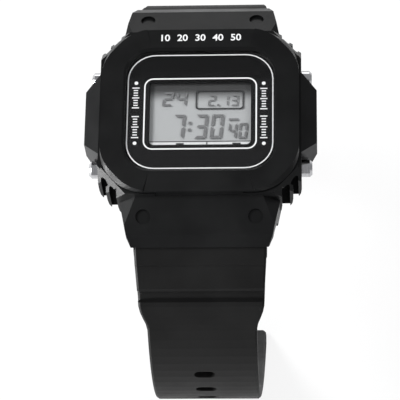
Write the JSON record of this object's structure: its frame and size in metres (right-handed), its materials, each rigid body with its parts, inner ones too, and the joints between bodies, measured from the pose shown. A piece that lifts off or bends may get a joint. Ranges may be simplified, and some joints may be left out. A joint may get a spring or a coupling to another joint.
{
  "type": "digital sports watch",
  "caption": "Digital sports watch with octagonal resin bezel, steel push buttons, quartz movement and an open two-part resin strap with pin buckle",
  "frame": {"origin": "centre of the case back's outer face", "axes": "X towards 3 o'clock, Y towards 12 o'clock, Z out of the dial"},
  "size_m": [0.0428, 0.0834, 0.1023],
  "materials": {
    "bezel": "satin moulded resin",
    "strap": "fine matt moulded resin",
    "case": "matt",
    "crystal": "clear",
    "face": "black with white lines",
    "lcd": "grey",
    "light_guide": "white",
    "seal": "matt",
    "board": "green lacquer",
    "chip": "matt",
    "insulator": "film",
    "steel": "brushed",
    "brass": "plated"
  },
  "bodies": {
    "case": {"bezel_cover": "bezel", "case_middle": "case", "crystal": "crystal", "crystal_gasket": "seal", "face_plate": "face", "lcd_panel": "lcd", "backlight_panel": "light_guide", "backlight_led": "light_guide", "connector_strips": "seal", "module_frame": "case", "circuit_board": "board", "chip": "chip", "quartz_crystal": "steel", "capacitors": "chip", "battery": "steel", "battery_insulator": "insulator", "battery_clip": "steel", "buzzer_disc": "brass", "buzzer_spring": "brass", "module_cushion": "seal", "case_back": "steel", "case_back_gasket": "seal", "case_back_screws": "steel", "push_tubes": "steel", "button_seals": "seal", "light_spring": "steel", "mode_spring": "steel", "start_spring": "steel", "reset_spring": "steel", "switch_springs": "brass", "upper_spring_bar": "steel", "lower_spring_bar": "steel"},
    "lower_strap": {"lower_strap": "strap"},
    "upper_strap": {"upper_strap": "strap"},
    "keeper": {"keeper_loop": "strap"},
    "buckle": {"buckle_frame": "steel", "buckle_bar": "steel"},
    "tongue": {"buckle_tongue": "steel"},
    "light_pusher": {"light_button": "steel", "light_clip": "steel"},
    "mode_pusher": {"mode_button": "steel", "mode_clip": "steel"},
    "start_pusher": {"start_button": "steel", "start_clip": "steel"},
    "reset_pusher": {"reset_button": "steel", "reset_clip": "steel"}
  },
  "joints": [
    {"name": "lower_strap_hinge", "type": "hinge", "parent": "case", "child": "lower_strap", "pos_m": [0, -0.02233, 0.00357], "axis": [1, 0, 0], "range_deg": [0, 10]},
    {"name": "upper_strap_hinge", "type": "hinge", "parent": "case", "child": "upper_strap", "pos_m": [0, 0.02233, 0.00357], "axis": [-1, 0, 0], "range_deg": [-13.5, 8]},
    {"name": "keeper_slide", "type": "slide", "parent": "upper_strap", "child": "keeper", "axis": [0, 0.0089, -1], "range_m": [-0.008, 0.012]},
    {"name": "buckle_hinge", "type": "hinge", "parent": "upper_strap", "child": "buckle", "pos_m": [0, 0.03645, -0.06786], "axis": [1, 0, 0], "range_deg": [-40, 40]},
    {"name": "tongue_hinge", "type": "hinge", "parent": "buckle", "child": "tongue", "pos_m": [0, 0.03645, -0.06786], "axis": [1, 0, 0], "range_deg": [0, 75]},
    {"name": "light_press", "type": "slide", "parent": "case", "child": "light_pusher", "axis": [1, 0, 0], "range_m": [0, 0.0008], "stiffness_N_per_m": 600, "springref_m": -0.003, "deforming": ["light_spring"]},
    {"name": "mode_press", "type": "slide", "parent": "case", "child": "mode_pusher", "axis": [1, 0, 0], "range_m": [0, 0.0008], "stiffness_N_per_m": 600, "springref_m": -0.003, "deforming": ["mode_spring"]},
    {"name": "start_press", "type": "slide", "parent": "case", "child": "start_pusher", "axis": [-1, 0, 0], "range_m": [0, 0.0008], "stiffness_N_per_m": 600, "springref_m": -0.003, "deforming": ["start_spring"]},
    {"name": "reset_press", "type": "slide", "parent": "case", "child": "reset_pusher", "axis": [-1, 0, 0], "range_m": [0, 0.0008], "stiffness_N_per_m": 600, "springref_m": -0.003, "deforming": ["reset_spring"]}
  ]
}
